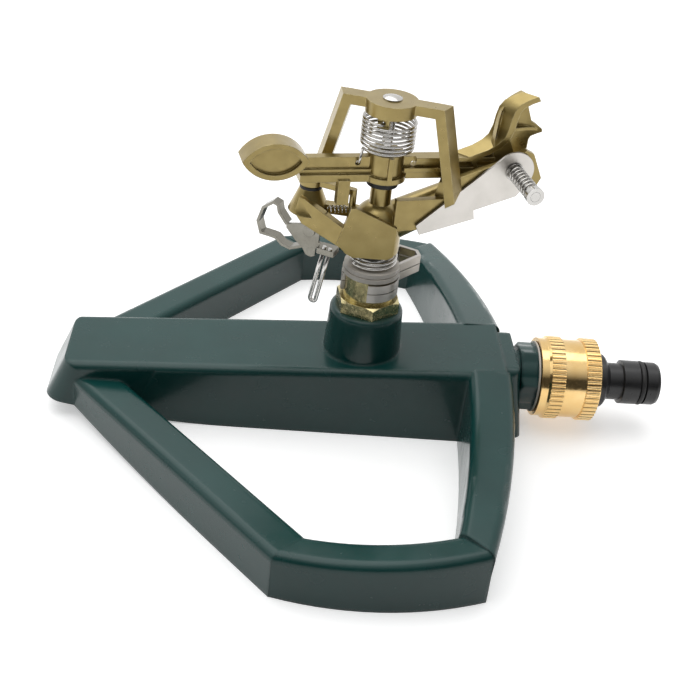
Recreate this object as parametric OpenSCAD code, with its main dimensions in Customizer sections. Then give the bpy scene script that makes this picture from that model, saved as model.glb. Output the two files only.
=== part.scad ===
// Impact sprinkler on a cast sled base.
// The riser axis is the Z axis, the floor is z = 0 and +X runs towards the hose inlet.
// Head pieces are drawn with the barrel along +X and then turned to their resting direction.

/* [Base casting] */
// Radius of the long outer sides, about the riser axis
side_r = 108; // [100:0.5:116]
// Width of the long sides
side_w = 12; // [9:0.5:15]
// Height of the loop where the nose arms meet the sides
loop_h = 17.3; // [14:0.1:20]
// Height of the loop at its inlet corners
corner_h = 20; // [18:0.1:24]
// Direction of the nose corners, from the inlet direction
nose_corner_a = 106.5; // [100:0.5:112]
// Width of the two straight nose arms
arm_w = 14.5; // [11:0.5:17]
// Where the outer nose arm edges start, forward of the riser
nose_arm_x = 103.5; // [98:0.5:106]
// Half distance between those two starts
nose_arm_y = 16.6; // [12:0.2:20]
// Radius of the outer edge of the curved inlet arms
rise_r = 310; // [280:5:340]
// How far that edge lies behind the riser at mid width
rise_x = 54.7; // [52:0.1:58]
// Radius of the inner edge of the curved inlet arms
rise_in_r = 380; // [350:5:410]
// How far the inner edge lies behind the riser at mid width
rise_in_x = 38.5; // [36:0.1:41]
// Half width of the spine at the nose
spine_nose_w = 17.2; // [15.5:0.1:18.5]
// Half width of the spine at the inlet
spine_inlet_w = 18.7; // [17:0.1:20]
// Height of the spine at the nose
spine_nose_h = 22.7; // [20:0.1:25]
// Height of the spine at the inlet
spine_inlet_h = 30.2; // [28.5:0.1:33]
// Reach of the nose tip at its top edge
nose_x = 106.7; // [104:0.1:112]
// Lean of the nose's end face
nose_lean = 24; // [10:1:32]
// Radius of the curve that lifts the underside of the nose
sled_r = 330; // [280:5:420]
// Where the underside starts to lift
sled_x = 45; // [30:1:60]
// Wall of the casting
cast_wall = 3; // [2.4:0.1:3.6]
// Radius of the rounded top edges
edge_r = 3; // [1.5:0.1:3.6]
// Half width of the inlet block
block_w = 14.4; // [13.6:0.1:16]
// Reach of the inlet block behind the riser
block_x = 59.5; // [58:0.1:62]

/* [Water way] */
// Height of the inlet axis
inlet_z = 19; // [18:0.1:21]
// Bore of the water way in the base
water_r = 7; // [5:0.1:7.6]
// Top of the riser socket
socket_z = 45.5; // [42:0.1:48]
// Radius of the socket at its rim
socket_r = 13.3; // [13:0.1:14]
// Radius of the socket at its foot
socket_foot_r = 14.4; // [14.1:0.1:15.2]
// Radius of the threaded bore in the socket
socket_bore_r = 10.5; // [10.2:0.05:10.8]
// Depth of the threaded bore in the socket
socket_depth = 13; // [11:0.5:14]
// Hexagon across flats on the inlet nipple
nipple_af = 22.5; // [21:0.1:24]
// Length of the nipple's hexagon
nipple_hex_len = 6.2; // [5:0.1:8]
// Radius of the nipple's hose thread
nipple_r = 12.6; // [12:0.1:13]
// Length of the nipple's hose thread
nipple_thread_len = 14.6; // [14:0.1:15.2]
// Radius of the nipple's shank in the base
shank_r = 9.6; // [9:0.1:10.4]
// Length of the nipple's shank in the base
shank_len = 10; // [8:0.5:12]

/* [Hose connector] */
// Outer radius of the knurled rings
nut_r = 15.6; // [15:0.1:16.5]
// Outer radius of the nut between the rings
nut_band_r = 14.8; // [14.4:0.1:14.9]
// Length of the brass nut
nut_len = 22.6; // [21:0.1:24]
// Length of each knurled ring
knurl_len = 5.2; // [4:0.1:6]
// Number of grooves round each ring
knurl_n = 48; // [36:2:60]
// Depth of the knurl grooves
knurl_d = 0.5; // [0.3:0.05:0.7]
// Radius of the plug's collar
plug_collar_r = 10; // [9.5:0.1:11]
// Radius of the plug's neck
plug_neck_r = 7; // [6.6:0.1:7.4]
// Radius of the plug's body
plug_r = 8.1; // [7.9:0.05:8.2]
// Radius of the plug's bore
plug_bore_r = 4.6; // [4:0.1:5.2]
// Length of the plug beyond the nut
plug_len = 25.2; // [24:0.1:28]
// Thickness of the nut's end wall
nut_wall = 3.6; // [3:0.1:4]
// Thickness of the plug's sealing ring
ring_t = 2.2; // [1.8:0.1:2.4]

/* [Bearing] */
// Hexagon across flats on the bearing nut
bearing_af = 21; // [20:0.1:22]
// Height of that hexagon
bearing_hex_h = 4.8; // [4:0.1:6]
// Radius of the sleeve that carries the stop collars
sleeve_r = 9; // [8.6:0.05:9.4]
// Height of that sleeve above the hexagon
sleeve_h = 9.4; // [9:0.1:10]
// Outer radius of the turning tube
tube_r = 6.2; // [5.6:0.05:6.6]
// Bore of the turning tube
tube_bore_r = 4.6; // [4:0.1:5]
// Radial clearance of turning fits
run_fit = 0.06; // [0.03:0.01:0.09]
// Radial clearance of screwed and pressed joints
seat = 0.03; // [0.01:0.01:0.05]
// Gap between pieces that must not rub
gap = 0.3; // [0.25:0.01:0.35]
// Height of each stop collar's band
collar_h = 3.2; // [2.8:0.1:3.3]
// Thickness of the collar strip
collar_t = 1.3; // [1:0.1:1.5]
// Reach of the collars' handles from the riser axis
handle_reach = 24; // [21:0.5:24.4]
// Wire of the bearing spring
bearing_wire = 1.3; // [1.1:0.05:1.4]
// Mean radius of the bearing spring
bearing_coil_r = 8.1; // [7.9:0.05:8.2]

/* [Sprinkler body] */
// Resting direction of the barrel from the inlet direction
head_yaw = 12; // [0:1:20]
// Height of the bottom of the body
body_z = 69.2; // [69:0.1:69.6]
// Radius of the body's upright tube
body_r = 8.7; // [8.4:0.1:9]
// Lift of the barrel above level
barrel_lift = 27; // [25:0.5:28]
// Height where the barrel's axis crosses the riser axis
barrel_z = 81.5; // [80.5:0.1:82.5]
// Length of the barrel from the riser axis
barrel_len = 44; // [42:0.5:46]
// Outer radius of the barrel at its mouth
barrel_r = 6.4; // [6.2:0.1:6.6]
// Bore of the barrel
barrel_bore_r = 4.2; // [3.8:0.1:4.4]
// Bore of the nozzle
nozzle_r = 2.2; // [1.8:0.1:2.6]
// Radius of the post under the arm
post_r = 3.7; // [3.4:0.1:4]
// Height of the top of the post
post_z = 94; // [93.5:0.1:94.1]
// Direction of the bridge from the barrel
bridge_a = -26; // [-30:1:-24]
// Height of the bridge's top face
bridge_top = 124.6; // [124:0.1:126]
// Depth of the bridge bars
bridge_depth = 6; // [5:0.1:7]
// Width of the bridge bars in front
bridge_bar = 3.4; // [2.8:0.1:3.8]
// Radius of the disc that holds the pin
disc_r = 8.8; // [8.4:0.1:9.2]
// Thickness of that disc
disc_t = 2.9; // [2.5:0.1:3.2]

/* [Arm] */
// Radius of the pivot pin
pin_r = 1.9; // [1.6:0.05:2]
// Radius of the arm's hub
hub_r = 6.3; // [6:0.1:6.6]
// Underside of the arm
arm_z = 96.6; // [96.4:0.1:96.9]
// Height of the arm's beam
arm_h = 10.2; // [9.6:0.1:10.4]
// Thickness of the beam's web
arm_web = 3; // [2.4:0.1:3.4]
// Distance of the balance weight from the pivot
weight_x = 38.5; // [37:0.5:41]
// Length of the balance weight
weight_len = 22.4; // [20:0.2:24]
// Height of the balance weight
weight_h = 13; // [11:0.2:14]
// Depth of the balance weight
weight_d = 8.6; // [7:0.1:10]
// Wire of the arm's spring
spring_wire = 1.15; // [1:0.05:1.2]
// Mean radius of the arm's spring
spring_r = 8.9; // [8.6:0.05:9]
// Turns of the arm's spring
spring_n = 7; // [5:1:7]

/* [Deflector] */
// Thickness of the deflector sheet
sheet = 0.9; // [0.7:0.05:1.1]
// Radius of the deflector's bolt
bolt_r = 1.7; // [1.5:0.05:1.9]
// Length of the bolt in front of the sheet
bolt_len = 20.5; // [19:0.5:22]
// Wire of the deflector's spring
bolt_wire = 0.8; // [0.7:0.05:0.9]
// Turns of the deflector's spring
bolt_n = 7; // [5:1:8]

/* [Reversing trip] */
// Distance of the latch boss from the riser axis
boss_reach = 24.2; // [23.4:0.1:24.6]
// Direction of the latch boss from the barrel
boss_a = 159.3; // [158:0.1:161]
// Height of the top of the latch boss
boss_z = 89; // [88.6:0.1:89.2]
// Height of the top of the front wall
wall_top = 84.6; // [83.5:0.1:85]
// Height of the bottom of the front wall
wall_low = 74.2; // [73:0.1:75]
// Thickness of the front wall
wall_t = 2.6; // [2.2:0.1:3]
// Wire of the trip's hairpin
trip_wire = 1.5; // [1.2:0.05:1.7]
// Gap between the legs of the hairpin
trip_gap = 2.6; // [2.2:0.1:3]

/* [Hidden] */
$fn = 64;
big = 400;

// Plane geometry helpers
function pol(r, a) = [r * cos(a), r * sin(a)];
function unit(v) = v / norm(v);
function dir(a, b) = atan2(b[1] - a[1], b[0] - a[0]);
function touch(p, c, r, side) = let(d = norm(c - p))
    p + pol(sqrt(d * d - r * r), dir(p, c) + side * asin(r / d));
function circles_meet(d, r1, r2) = let(x = (r1 * r1 - r2 * r2 + d * d) / (2 * d))
    [x - d, sqrt(r1 * r1 - x * x)];

// Corners of the loop on the +Y side
loop_in_r = side_r - side_w;
corner_nose = pol(side_r, nose_corner_a);
corner_inlet = circles_meet(rise_r - rise_x, rise_r, side_r);
corner_inlet_in = circles_meet(rise_in_r - rise_in_x, rise_in_r, loop_in_r);
nose_start = [-nose_arm_x, nose_arm_y];
nose_dir = dir(nose_start, corner_nose);
nose_inner_start = nose_start + pol(arm_w, nose_dir - 90);
nose_foot = nose_inner_start - (nose_inner_start * pol(1, nose_dir)) * pol(1, nose_dir);
corner_nose_in = nose_foot + sqrt(pow(loop_in_r, 2) - nose_foot * nose_foot) * pol(1, nose_dir);
side_tilt = asin((corner_h - loop_h) / (corner_inlet[0] - corner_nose[0]));
rise_tilt = atan((spine_inlet_h - corner_h) / (corner_inlet[1] - spine_inlet_w));
spine_len = nose_x + rise_in_x;
spine_tilt = atan((spine_inlet_h - spine_nose_h) / spine_len);
spine_flare = atan((spine_inlet_w - spine_nose_w) / spine_len);
spine_h0 = spine_nose_h + nose_x * tan(spine_tilt);

side_h0 = loop_h - corner_nose[0] * tan(side_tilt);
rise_h0 = spine_inlet_h + spine_inlet_w * tan(rise_tilt);
sink = 20;
tilt_z = 15;
hollow_r = 1;
pad_r = 12;
duct_r = water_r + 2.6;

// Heights of the bearing stack
hex_top = socket_z + bearing_hex_h;
sleeve_top = hex_top + sleeve_h;
lower_collar_z = hex_top + 2;
upper_collar_z = lower_collar_z + collar_h + gap;
bearing_washer_t = 1.6;
thrust_washer_t = 1.5;
thrust_z = sleeve_top + bearing_washer_t + gap;
spring_foot_z = thrust_z + thrust_washer_t;
tube_low = socket_z - socket_depth + 1.2;
tube_flange_t = 2;
seal_t = 1.4;
bearing_low = tube_low + tube_flange_t + seal_t + gap;
tube_top = body_z + 9;

// Places along the inlet axis
nut_x = block_x + nipple_hex_len + 0.6 + gap;
nut_wall_x = nut_x + nut_len - nut_wall;
nipple_end = block_x + nipple_hex_len + nipple_thread_len;
plug_flange_x = nut_wall_x - gap - 2.2;
plug_x = nut_x + nut_len;

// Places on the head
shield_a = -12;
boss = pol(boss_reach, boss_a);
wall_a = [-13.5, -5.8];
wall_dir = 144;
wall_len = 15.7;
web_y = -8.6;
web_t = 2.4;
bolt_s = 43.5;
bolt_z = 102.3;
sheet_y = web_y - gap - sheet;
bolt_washer_t = 0.5;
bolt_head_t = 0.8;
latch_z = boss_z + 1.3;
latch_r = 4;
latch_tip_z = 86.4;
trip_spring_z = 86.9;
hook_a = 235;
hook_r = spring_r - spring_wire / 2 - 1.3;
hook_z = bridge_top - disc_t - 2;
pin_top = bridge_top + 0.8;
bushing_r = 3.2;

module in_head() { rotate([0, 0, head_yaw]) children(); }
module in_bridge() { rotate([0, 0, bridge_a]) rotate([90, 0, 0]) children(); }
module mirrored_y() { children(); mirror([0, 1, 0]) children(); }

// A bar profile with rounded upper corners, its base on y = 0
module soft_top(x0, x1, h, r) {
    translate([x0, 0]) square([x1 - x0, h - r]);
    translate([x0 + r, 0]) square([x1 - x0 - 2 * r, h]);
    translate([x0 + r, h - r]) circle(r);
    translate([x1 - r, h - r]) circle(r);
}

// The half of space to the left of the line from a to b
module left_of(a, b) {
    translate([a[0], a[1], -big / 2]) rotate([0, 0, dir(a, b)])
        translate([-big, -0.01, 0]) cube([2 * big, 2 * big, big]);
}

// A strip of sheet seen on edge, with mitred bends at the points between its ends
function turn(a, b) = (b - a + 540) % 360 - 180;
function mitre(p, i) = let(n = len(p) - 1, a = dir(p[max(i - 1, 0)], p[max(i, 1)]),
    b = dir(p[min(i, n - 1)], p[min(i + 1, n)]), h = turn(a, b) / 2) pol(1 / cos(h), a + h + 90);
module strip(p, t) {
    n = len(p) - 1;
    polygon(concat([for (i = [0:n]) p[i] + t / 2 * mitre(p, i)],
        [for (i = [n:-1:0]) p[i] - t / 2 * mitre(p, i)]));
}

// A round wire swept along points that lie round the Z axis
function tangent(p, i) = unit(p[min(i + 1, len(p) - 1)] - p[max(i - 1, 0)]);
function ring(p, i, r) = let(t = tangent(p, i), o = unit([p[i][0], p[i][1], 0]) + [0, 0, 0.4],
    u = unit(o - (o * t) * t), v = cross(t, u))
    [for (a = [0:60:300]) p[i] + r * cos(a) * u + r * sin(a) * v];
function side_faces(n) = [for (i = [0:n - 2], k = [0:5]) let(a = i * 6 + k, b = i * 6 + (k + 1) % 6)
    each [[a, a + 6, b + 6], [a, b + 6, b]]];
function end_faces(n) = [for (k = [1:4]) each [[0, k, k + 1],
    [(n - 1) * 6, (n - 1) * 6 + k + 1, (n - 1) * 6 + k]]];
function least_gap(p, d) = min([for (i = [0:len(p) - 6], j = [i + 5:len(p) - 1]) norm(p[i] - p[j])]) - d;
function helix(r, z0, z1, n, a0) = [for (i = [0:8 * n])
    [r * cos(a0 + i * 45), r * sin(a0 + i * 45), z0 + (z1 - z0) * i / (8 * n)]];
module wire(p, d) {
    echo(least_gap = least_gap(p, d));
    polyhedron([for (i = [0:len(p) - 1]) each ring(p, i, d / 2)],
        concat(side_faces(len(p)), end_faces(len(p))));
}
module tube(r1, r2, z0, z1) {
    difference() {
        translate([0, 0, z0]) cylinder(r = r2, h = z1 - z0);
        translate([0, 0, z0 - 1]) cylinder(r = r1, h = z1 - z0 + 2);
    }
}
module along_x(x) { translate([x, 0, inlet_z]) rotate([0, 90, 0]) children(); }
module hexagon(af, h) { linear_extrude(h) circle(r = af / sqrt(3), $fn = 6); }

// The casting's loop; t is the distance inside its outer faces
function round_at(t) = t > 0 ? hollow_r : edge_r;
module side_band(t) {
    translate([0, 0, side_h0]) rotate([0, -side_tilt, 0]) translate([0, 0, -side_h0 - sink])
        rotate_extrude() soft_top(loop_in_r + t, side_r - t, side_h0 + sink - t, round_at(t));
}
module rise_band(t) {
    r = round_at(t);
    translate([0, 0, tilt_z]) rotate([-rise_tilt, 0, 0]) translate([0, 0, -tilt_z - sink])
        difference() {
            translate([rise_x - rise_r, 0, 0]) rotate_extrude()
                soft_top(rise_r - 60, rise_r - t, rise_h0 + sink - t, round_at(t));
            translate([rise_in_x - rise_in_r, 0, -1]) rotate_extrude() {
                translate([rise_in_r - 90, 0]) square([90 + t, rise_h0 + sink + 9]);
                translate([rise_in_r + t - 1, rise_h0 + sink - t - r + 1]) difference() {
                    square([r + 1, r + 1]);
                    translate([r + 1, 0]) circle(r);
                }
            }
        }
}
module nose_arm(t) {
    translate([nose_inner_start[0], nose_inner_start[1], -sink]) rotate([0, 0, nose_dir])
        translate([-40, 0, 0]) rotate([90, 0, 90]) linear_extrude(200)
            soft_top(t, arm_w - t, loop_h + sink - t, round_at(t));
}
module half_loop(t) {
    intersection() {
        side_band(t);
        left_of(corner_nose, corner_nose_in);
        left_of(corner_inlet_in, corner_inlet);
    }
    intersection() {
        rise_band(t);
        left_of(corner_inlet, corner_inlet_in);
        translate([-10, spine_inlet_w - cast_wall + t, -sink]) cube([big, big, big]);
    }
    intersection() {
        nose_arm(t);
        left_of(corner_nose_in, corner_nose);
        translate([-big, spine_nose_w - cast_wall + t, -sink]) cube([big, big, big]);
    }
}
module half_spine(t) {
    rotate([0, 0, spine_flare]) rotate([90, 0, 90]) translate([0, 0, -150]) linear_extrude(210)
        translate([0, -sink])
            soft_top(-60, spine_nose_w + nose_x * tan(spine_flare) - t, spine_h0 + sink - t,
                round_at(t));
}
module nose_end(t) {
    r = 6;
    translate([-nose_x + t, 0, spine_nose_h]) rotate([0, nose_lean, 0]) translate([0, 0, -60])
        linear_extrude(200) {
            translate([r, -spine_nose_w]) square([220, 2 * spine_nose_w]);
            translate([0, -spine_nose_w + r]) square([30, 2 * spine_nose_w - 2 * r]);
            for (s = [-1, 1]) translate([r, s * (spine_nose_w - r)]) circle(r);
            translate([30, -40]) square([220, 80]);
        }
}
module spine(t) {
    intersection() {
        translate([0, 0, spine_h0]) rotate([0, -spine_tilt, 0]) translate([0, 0, -spine_h0])
            intersection() {
                half_spine(t);
                mirror([0, 1, 0]) half_spine(t);
            }
        nose_end(t);
        translate([-big, -big / 2, -sink]) cube([big + rise_x - 2.5 - 2 * t, big, big]);
    }
}
module inlet_block() {
    intersection() {
        translate([block_x, 0, inlet_z]) rotate([0, -10, 0]) translate([-30, 0, -40])
            rotate([0, 0, 0]) linear_extrude(80) {
                translate([0, -block_w]) square([30 - edge_r, 2 * block_w]);
                translate([0, -block_w + edge_r]) square([30, 2 * block_w - 2 * edge_r]);
                for (s = [-1, 1]) translate([30 - edge_r, s * (block_w - edge_r)]) circle(edge_r);
            }
        translate([rise_in_x + 2, 0, 0]) rotate([90, 0, 90]) linear_extrude(60)
            soft_top(-block_w, block_w, spine_inlet_h - 0.2, edge_r);
    }
}
module casting(t) {
    mirrored_y() half_loop(t);
    spine(t);
}
module sled_cut() {
    difference() {
        translate([-sled_x - 100, -big / 2, -sink - 1]) cube([100, big, sink + 30]);
        translate([-sled_x, big / 2 + 1, sled_r]) rotate([90, 0, 0])
            cylinder(r = sled_r, h = big + 2, $fn = 360);
    }
}

module base_casting() {
    color("#153f39") difference() {
        union() {
            difference() {
                casting(0);
                casting(cast_wall);
            }
            intersection() {
                spine(0.5);
                union() {
                    translate([-nose_x - 20, -cast_wall / 2, 2]) cube([nose_x + 60, cast_wall, 40]);
                    along_x(0) cylinder(r = duct_r, h = rise_x);
                }
            }
            inlet_block();
            cylinder(r = pad_r, h = spine_h0 - cast_wall + 1);
            translate([0, 0, inlet_z]) rotate_extrude() {
                polygon([[0, 0], [socket_foot_r + 0.4, 0], [socket_r, socket_z - inlet_z - 1.6],
                    [socket_r - 1.6, socket_z - inlet_z], [0, socket_z - inlet_z]]);
                translate([socket_r - 1.6, socket_z - inlet_z - 1.6]) circle(1.6);
            }
        }
        translate([-big / 2, -big / 2, -sink - 2]) cube([big, big, sink + 2]);
        sled_cut();
        translate([0, 0, socket_z - socket_depth]) cylinder(r = socket_bore_r, h = socket_depth + 1);
        translate([0, 0, inlet_z]) cylinder(r = water_r, h = socket_z - inlet_z);
        along_x(0) cylinder(r = water_r, h = 80);
        along_x(block_x - shank_len) cylinder(r = shank_r, h = shank_len + 20);
        along_x(block_x) cylinder(r = nipple_af / sqrt(3) + 0.4, h = 20);
    }
}

module inlet_nipple() {
    color("#153f39") along_x(block_x) difference() {
        union() {
            translate([0, 0, -shank_len]) cylinder(r = shank_r - seat, h = shank_len + 1);
            intersection() {
                rotate(15) hexagon(nipple_af, nipple_hex_len);
                rotate_extrude() polygon([[0, 0], [nipple_af / 2 + 0.6, 0], [nipple_af / 2 + 2, 1.2],
                    [nipple_af / 2 + 2, nipple_hex_len], [0, nipple_hex_len]]);
            }
            cylinder(r = nipple_r - 1, h = nipple_hex_len + nipple_thread_len);
            translate([0, 0, nipple_hex_len]) cylinder(r = nipple_r, h = nipple_thread_len - 1);
        }
        translate([0, 0, -shank_len - 1]) cylinder(r = water_r, h = 60);
    }
}

module nipple_washer() {
    color("#c9c4a6") along_x(block_x + nipple_hex_len)
        tube(nipple_r + seat, nipple_r + 0.8, 0, 0.6);
}

module hose_nut() {
    color("#d8a950") along_x(nut_x) difference() {
        union() {
            cylinder(r1 = nut_r - 2.6, r2 = nut_r - 0.2, h = 3.6);
            cylinder(r = nut_band_r, h = nut_len - 0.4);
            for (z = [3.6, nut_len - 0.5 - knurl_len]) translate([0, 0, z]) linear_extrude(knurl_len)
                difference() {
                    circle(nut_r);
                    for (i = [0:knurl_n - 1]) rotate(i * 360 / knurl_n) translate([nut_r + 0.2, 0])
                        circle(r = knurl_d + 0.2, $fn = 16);
                }
            cylinder(r = nut_band_r - 0.6, h = nut_len);
        }
        translate([0, 0, -1]) cylinder(r = nipple_r + run_fit, h = nut_len - nut_wall + 1);
        cylinder(r = plug_collar_r + run_fit, h = nut_len + 1);
    }
}

module hose_washer() {
    color("#222222") along_x(0) tube(water_r, nipple_r - 0.6, nipple_end, plug_flange_x);
}

module hose_plug() {
    s = plug_len;
    color("#1b1b1c") along_x(plug_x) difference() {
        rotate_extrude() polygon([[0, plug_flange_x - plug_x], [nipple_r - 0.3, plug_flange_x - plug_x],
            [nipple_r - 0.3, plug_flange_x + 2.2 - plug_x], [plug_collar_r, plug_flange_x + 2.2 - plug_x],
            [plug_collar_r, 3.2], [plug_collar_r - 0.6, 3.8], [plug_neck_r, s - 19.8],
            [plug_neck_r, s - 14.8], [plug_r + 0.2, s - 14.5], [plug_r + 0.2, s - 8.3],
            [plug_r - ring_t + 0.3 - seat, s - 8.1], [plug_r - ring_t + 0.3 - seat, s - 5.7],
            [plug_r, s - 5.5], [plug_r, s - 1.6], [plug_r - 0.5, s - 0.5], [plug_r - 1.7, s], [0, s]]);
        translate([0, 0, -20]) cylinder(r = plug_bore_r, h = s + 30);
        translate([0, 0, -20]) cylinder(r = plug_neck_r - 0.6, h = 16);
    }
}

module plug_ring() {
    color("#0d0d0d") along_x(plug_x + plug_len - 6.9) rotate_extrude()
        translate([plug_r + 0.3 - ring_t / 2, 0]) circle(d = ring_t, $fn = 32);
}

module bearing_nut() {
    color("#b3924c") difference() {
        union() {
            translate([0, 0, socket_z]) intersection() {
                rotate(-24) hexagon(bearing_af, bearing_hex_h);
                cylinder(r1 = bearing_af / 2 + 8, r2 = bearing_af / 2 + 0.3, h = bearing_hex_h + 0.01);
            }
            cylinder(r = sleeve_r, h = sleeve_top);
        }
        translate([0, 0, -1]) cylinder(r = big, h = bearing_low + 1);
        tube(socket_bore_r - seat, big, 0, socket_z);
        cylinder(r = tube_r + run_fit, h = big);
    }
    color("#b3924c") tube(sleeve_r - 1, socket_bore_r - seat, bearing_low, socket_z);
}

module bearing_washer() {
    color("#d8d2c4") difference() {
        translate([0, 0, sleeve_top]) cylinder(r = sleeve_r + 1.2, h = bearing_washer_t);
        cylinder(r = tube_r + run_fit, h = big);
    }
}

module stop_collar(z) {
    r = sleeve_r + run_fit;
    m = r + collar_t / 2;
    translate([0, 0, z]) {
        linear_extrude(collar_h) difference() {
            circle(r + collar_t);
            circle(r);
            polygon([[0, 0], pol(big, -170), pol(big, -134), pol(big, -98)]);
            polygon([[0, 0], pol(big, 0), pol(big, 36), pol(big, 72)]);
        }
        linear_extrude(collar_h) strip([[m, -0.3], [m, 3], [m + 0.6, 7.4], [handle_reach - 5.2, 15.6], [handle_reach - 5.8, 19],
            [12, 22.2], [4.6, 12.6], pol(m, 73)], collar_t);
    }
}
module upper_stop_collar() { color("#a9a296") stop_collar(upper_collar_z); }
module lower_stop_collar() { color("#a9a296") stop_collar(lower_collar_z); }

module turning_tube() {
    color("#c7c2b6") difference() {
        union() {
            translate([0, 0, tube_low]) cylinder(r = tube_r, h = tube_top - tube_low);
            translate([0, 0, tube_low]) cylinder(r = sleeve_r, h = tube_flange_t);
        }
        cylinder(r = tube_bore_r, h = big);
    }
}

module tube_seal() {
    color("#2a2a2a") tube(tube_r + seat, sleeve_r - 0.4, tube_low + tube_flange_t,
        tube_low + tube_flange_t + seal_t);
}

module thrust_washer() {
    color("#e3ded2") tube(tube_r + seat, sleeve_r + 0.9, thrust_z, spring_foot_z);
}

module bearing_spring() {
    z0 = spring_foot_z;
    d = bearing_wire;
    coil = helix(bearing_coil_r, z0 + d, body_z - d, 2, -150);
    color("#d5cfc0") wire(concat([[coil[0][0], coil[0][1], z0 + 0.02]], coil,
        [[coil[16][0], coil[16][1], body_z - 0.02]]), d);
}

// Pieces of the head, drawn with the barrel along +X
module bar_in_bridge(a, b, draft) {
    d = bridge_depth / 2;
    translate([a[0], a[1], 0]) rotate([0, 0, dir(a, b)]) rotate([90, 0, 90])
        translate([0, 0, -6]) linear_extrude(norm(b - a) + 12)
            polygon([[0, d], [-bridge_bar, d], [-bridge_bar, -d], [draft, -d]]);
}
module bridge() {
    top_l = [-16, bridge_top];
    top_r = [17.8, bridge_top];
    foot_l = [-27, 78];
    foot_r = [25.6, 93];
    in_bridge() {
        intersection() {
            union() {
                bar_in_bridge(foot_l, top_l, 2);
                mirror([1, 0, 0]) bar_in_bridge([-foot_r[0], foot_r[1]], [-top_r[0], top_r[1]], 2);
            }
            union() {
                translate([-60, foot_l[1], -30]) cube([60, bridge_top - foot_l[1], 60]);
                translate([0, foot_r[1] + 2.8, -30]) cube([60, bridge_top - foot_r[1], 60]);
            }
        }
        translate([top_l[0], bridge_top - bridge_bar, -bridge_depth / 2])
            cube([top_r[0] - top_l[0], bridge_bar, bridge_depth]);
        translate([0, 0, -5.4]) linear_extrude(3.2)
            polygon([foot_l, [-21.6, 104], [-18, 104], [-22, 90], [-21, 78]]);
        translate([0, 0, -7]) linear_extrude(4.2)
            polygon([[24.8, 97], [25.2, 93], [25, 90], [18, 90], [19, 97]]);
    }
    translate([0, 0, bridge_top - disc_t]) cylinder(r = disc_r, h = disc_t);
    translate([0, 0, hook_z - 1.6]) rotate([0, 0, hook_a]) translate([hook_r - 2, -2, 0])
        cube([2, 4, 3.7]);
}
module shield() {
    rotate([0, 0, shield_a]) rotate([90, 0, 0]) translate([0, 0, 6.8]) linear_extrude(2.2)
        polygon([[-10.3, 87.8], [-8.3, 88], [6.2, 81.5], [6.2, 70.5], [4, body_z], [-8, body_z],
            [-10.6, 70.5], [-14, 74.2]]);
}
module latch_wall() {
    translate([wall_a[0], wall_a[1], wall_low]) rotate([0, 0, wall_dir])
        translate([0, -wall_t, 0]) cube([wall_len, wall_t, wall_top - wall_low]);
    translate([boss[0], boss[1], wall_low]) cylinder(r1 = 6.3, r2 = 3.9, h = boss_z - wall_low);
    translate([boss[0], boss[1], wall_low]) rotate([0, 0, boss_a + 180]) translate([0, -1.8, 0])
        cube([boss_reach - 5, 3.6, 6.3]);
}
module deflector_web() {
    translate([0, web_y + web_t, 0]) rotate([90, 0, 0]) linear_extrude(web_t)
        polygon([[3, 79.5], [11, 80], [31, 87.5], [50, 95.3], [52.9, 96.3], [54.6, 99], [48.5, 109.1],
            [45.1, 107.7], [23.6, 94.9], [18, 91.5], [3, 91.5]]);
}
module barrel_axis() { translate([0, 0, barrel_z]) rotate([0, 90 - barrel_lift, 0]) children(); }

module sprinkler_body() {
    color("#8f7b3d") in_head() difference() {
        union() {
            translate([0, 0, body_z]) cylinder(r = body_r, h = barrel_z - body_z);
            translate([0, 0, barrel_z]) sphere(body_r);
            barrel_axis() cylinder(r1 = body_r - 0.4, r2 = barrel_r, h = barrel_len);
            translate([0, 0, barrel_z]) cylinder(r = post_r, h = post_z - barrel_z);
            bridge();
            shield();
            latch_wall();
            deflector_web();
        }
        translate([0, 0, body_z - 1]) cylinder(r = tube_r + seat, h = tube_top - body_z + 1);
        cylinder(r = tube_bore_r, h = barrel_z);
        translate([0, 0, barrel_z]) sphere(tube_bore_r);
        barrel_axis() cylinder(r = barrel_bore_r, h = barrel_len + 1);
        translate([0, 0, post_z - 8]) cylinder(r = pin_r + seat, h = big);
        translate([boss[0], boss[1], boss_z - 8]) cylinder(r = 1.5 + seat, h = 8.1);
        translate([boss[0], boss[1], boss_z]) cylinder(r = latch_r + 0.9, h = 9);
        translate([bolt_s, 0, bolt_z]) rotate([90, 0, 0]) cylinder(r = bolt_r + seat, h = 20);
        on_wall() translate([12, 78, -wall_t]) cylinder(r = 1.4 + seat, h = 10);
        translate([0, 0, hook_z]) rotate([0, 0, hook_a]) translate([hook_r - 3, 0, 0])
            rotate([0, 90, 0]) cylinder(r = spring_wire / 2 + gap, h = 5);
    }
}

module nozzle() {
    color("#d8a950") in_head() barrel_axis() difference() {
        union() {
            translate([0, 0, barrel_len - 9]) cylinder(r = barrel_bore_r - seat, h = 9);
            translate([0, 0, barrel_len]) cylinder(r = barrel_r - 1.2, h = 1.6);
        }
        translate([0, 0, barrel_len - 10]) cylinder(r1 = barrel_bore_r - 0.8, r2 = nozzle_r, h = 6);
        cylinder(r = nozzle_r, h = big);
    }
}

module pivot_pin() {
    color("#cfcfcf") {
        translate([0, 0, post_z - 7]) cylinder(r = pin_r, h = bridge_top - post_z + 7);
        translate([0, 0, bridge_top]) cylinder(r = 3.3, h = 0.4);
        intersection() {
            translate([0, 0, bridge_top + 0.4]) cylinder(r = 3.3, h = 2);
            translate([0, 0, bridge_top + 1.2 - 6.8]) sphere(6.8);
        }
    }
}

module arm_washer() {
    color("#141414") tube(pin_r + seat, 5.4, post_z, arm_z - gap);
}

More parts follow.
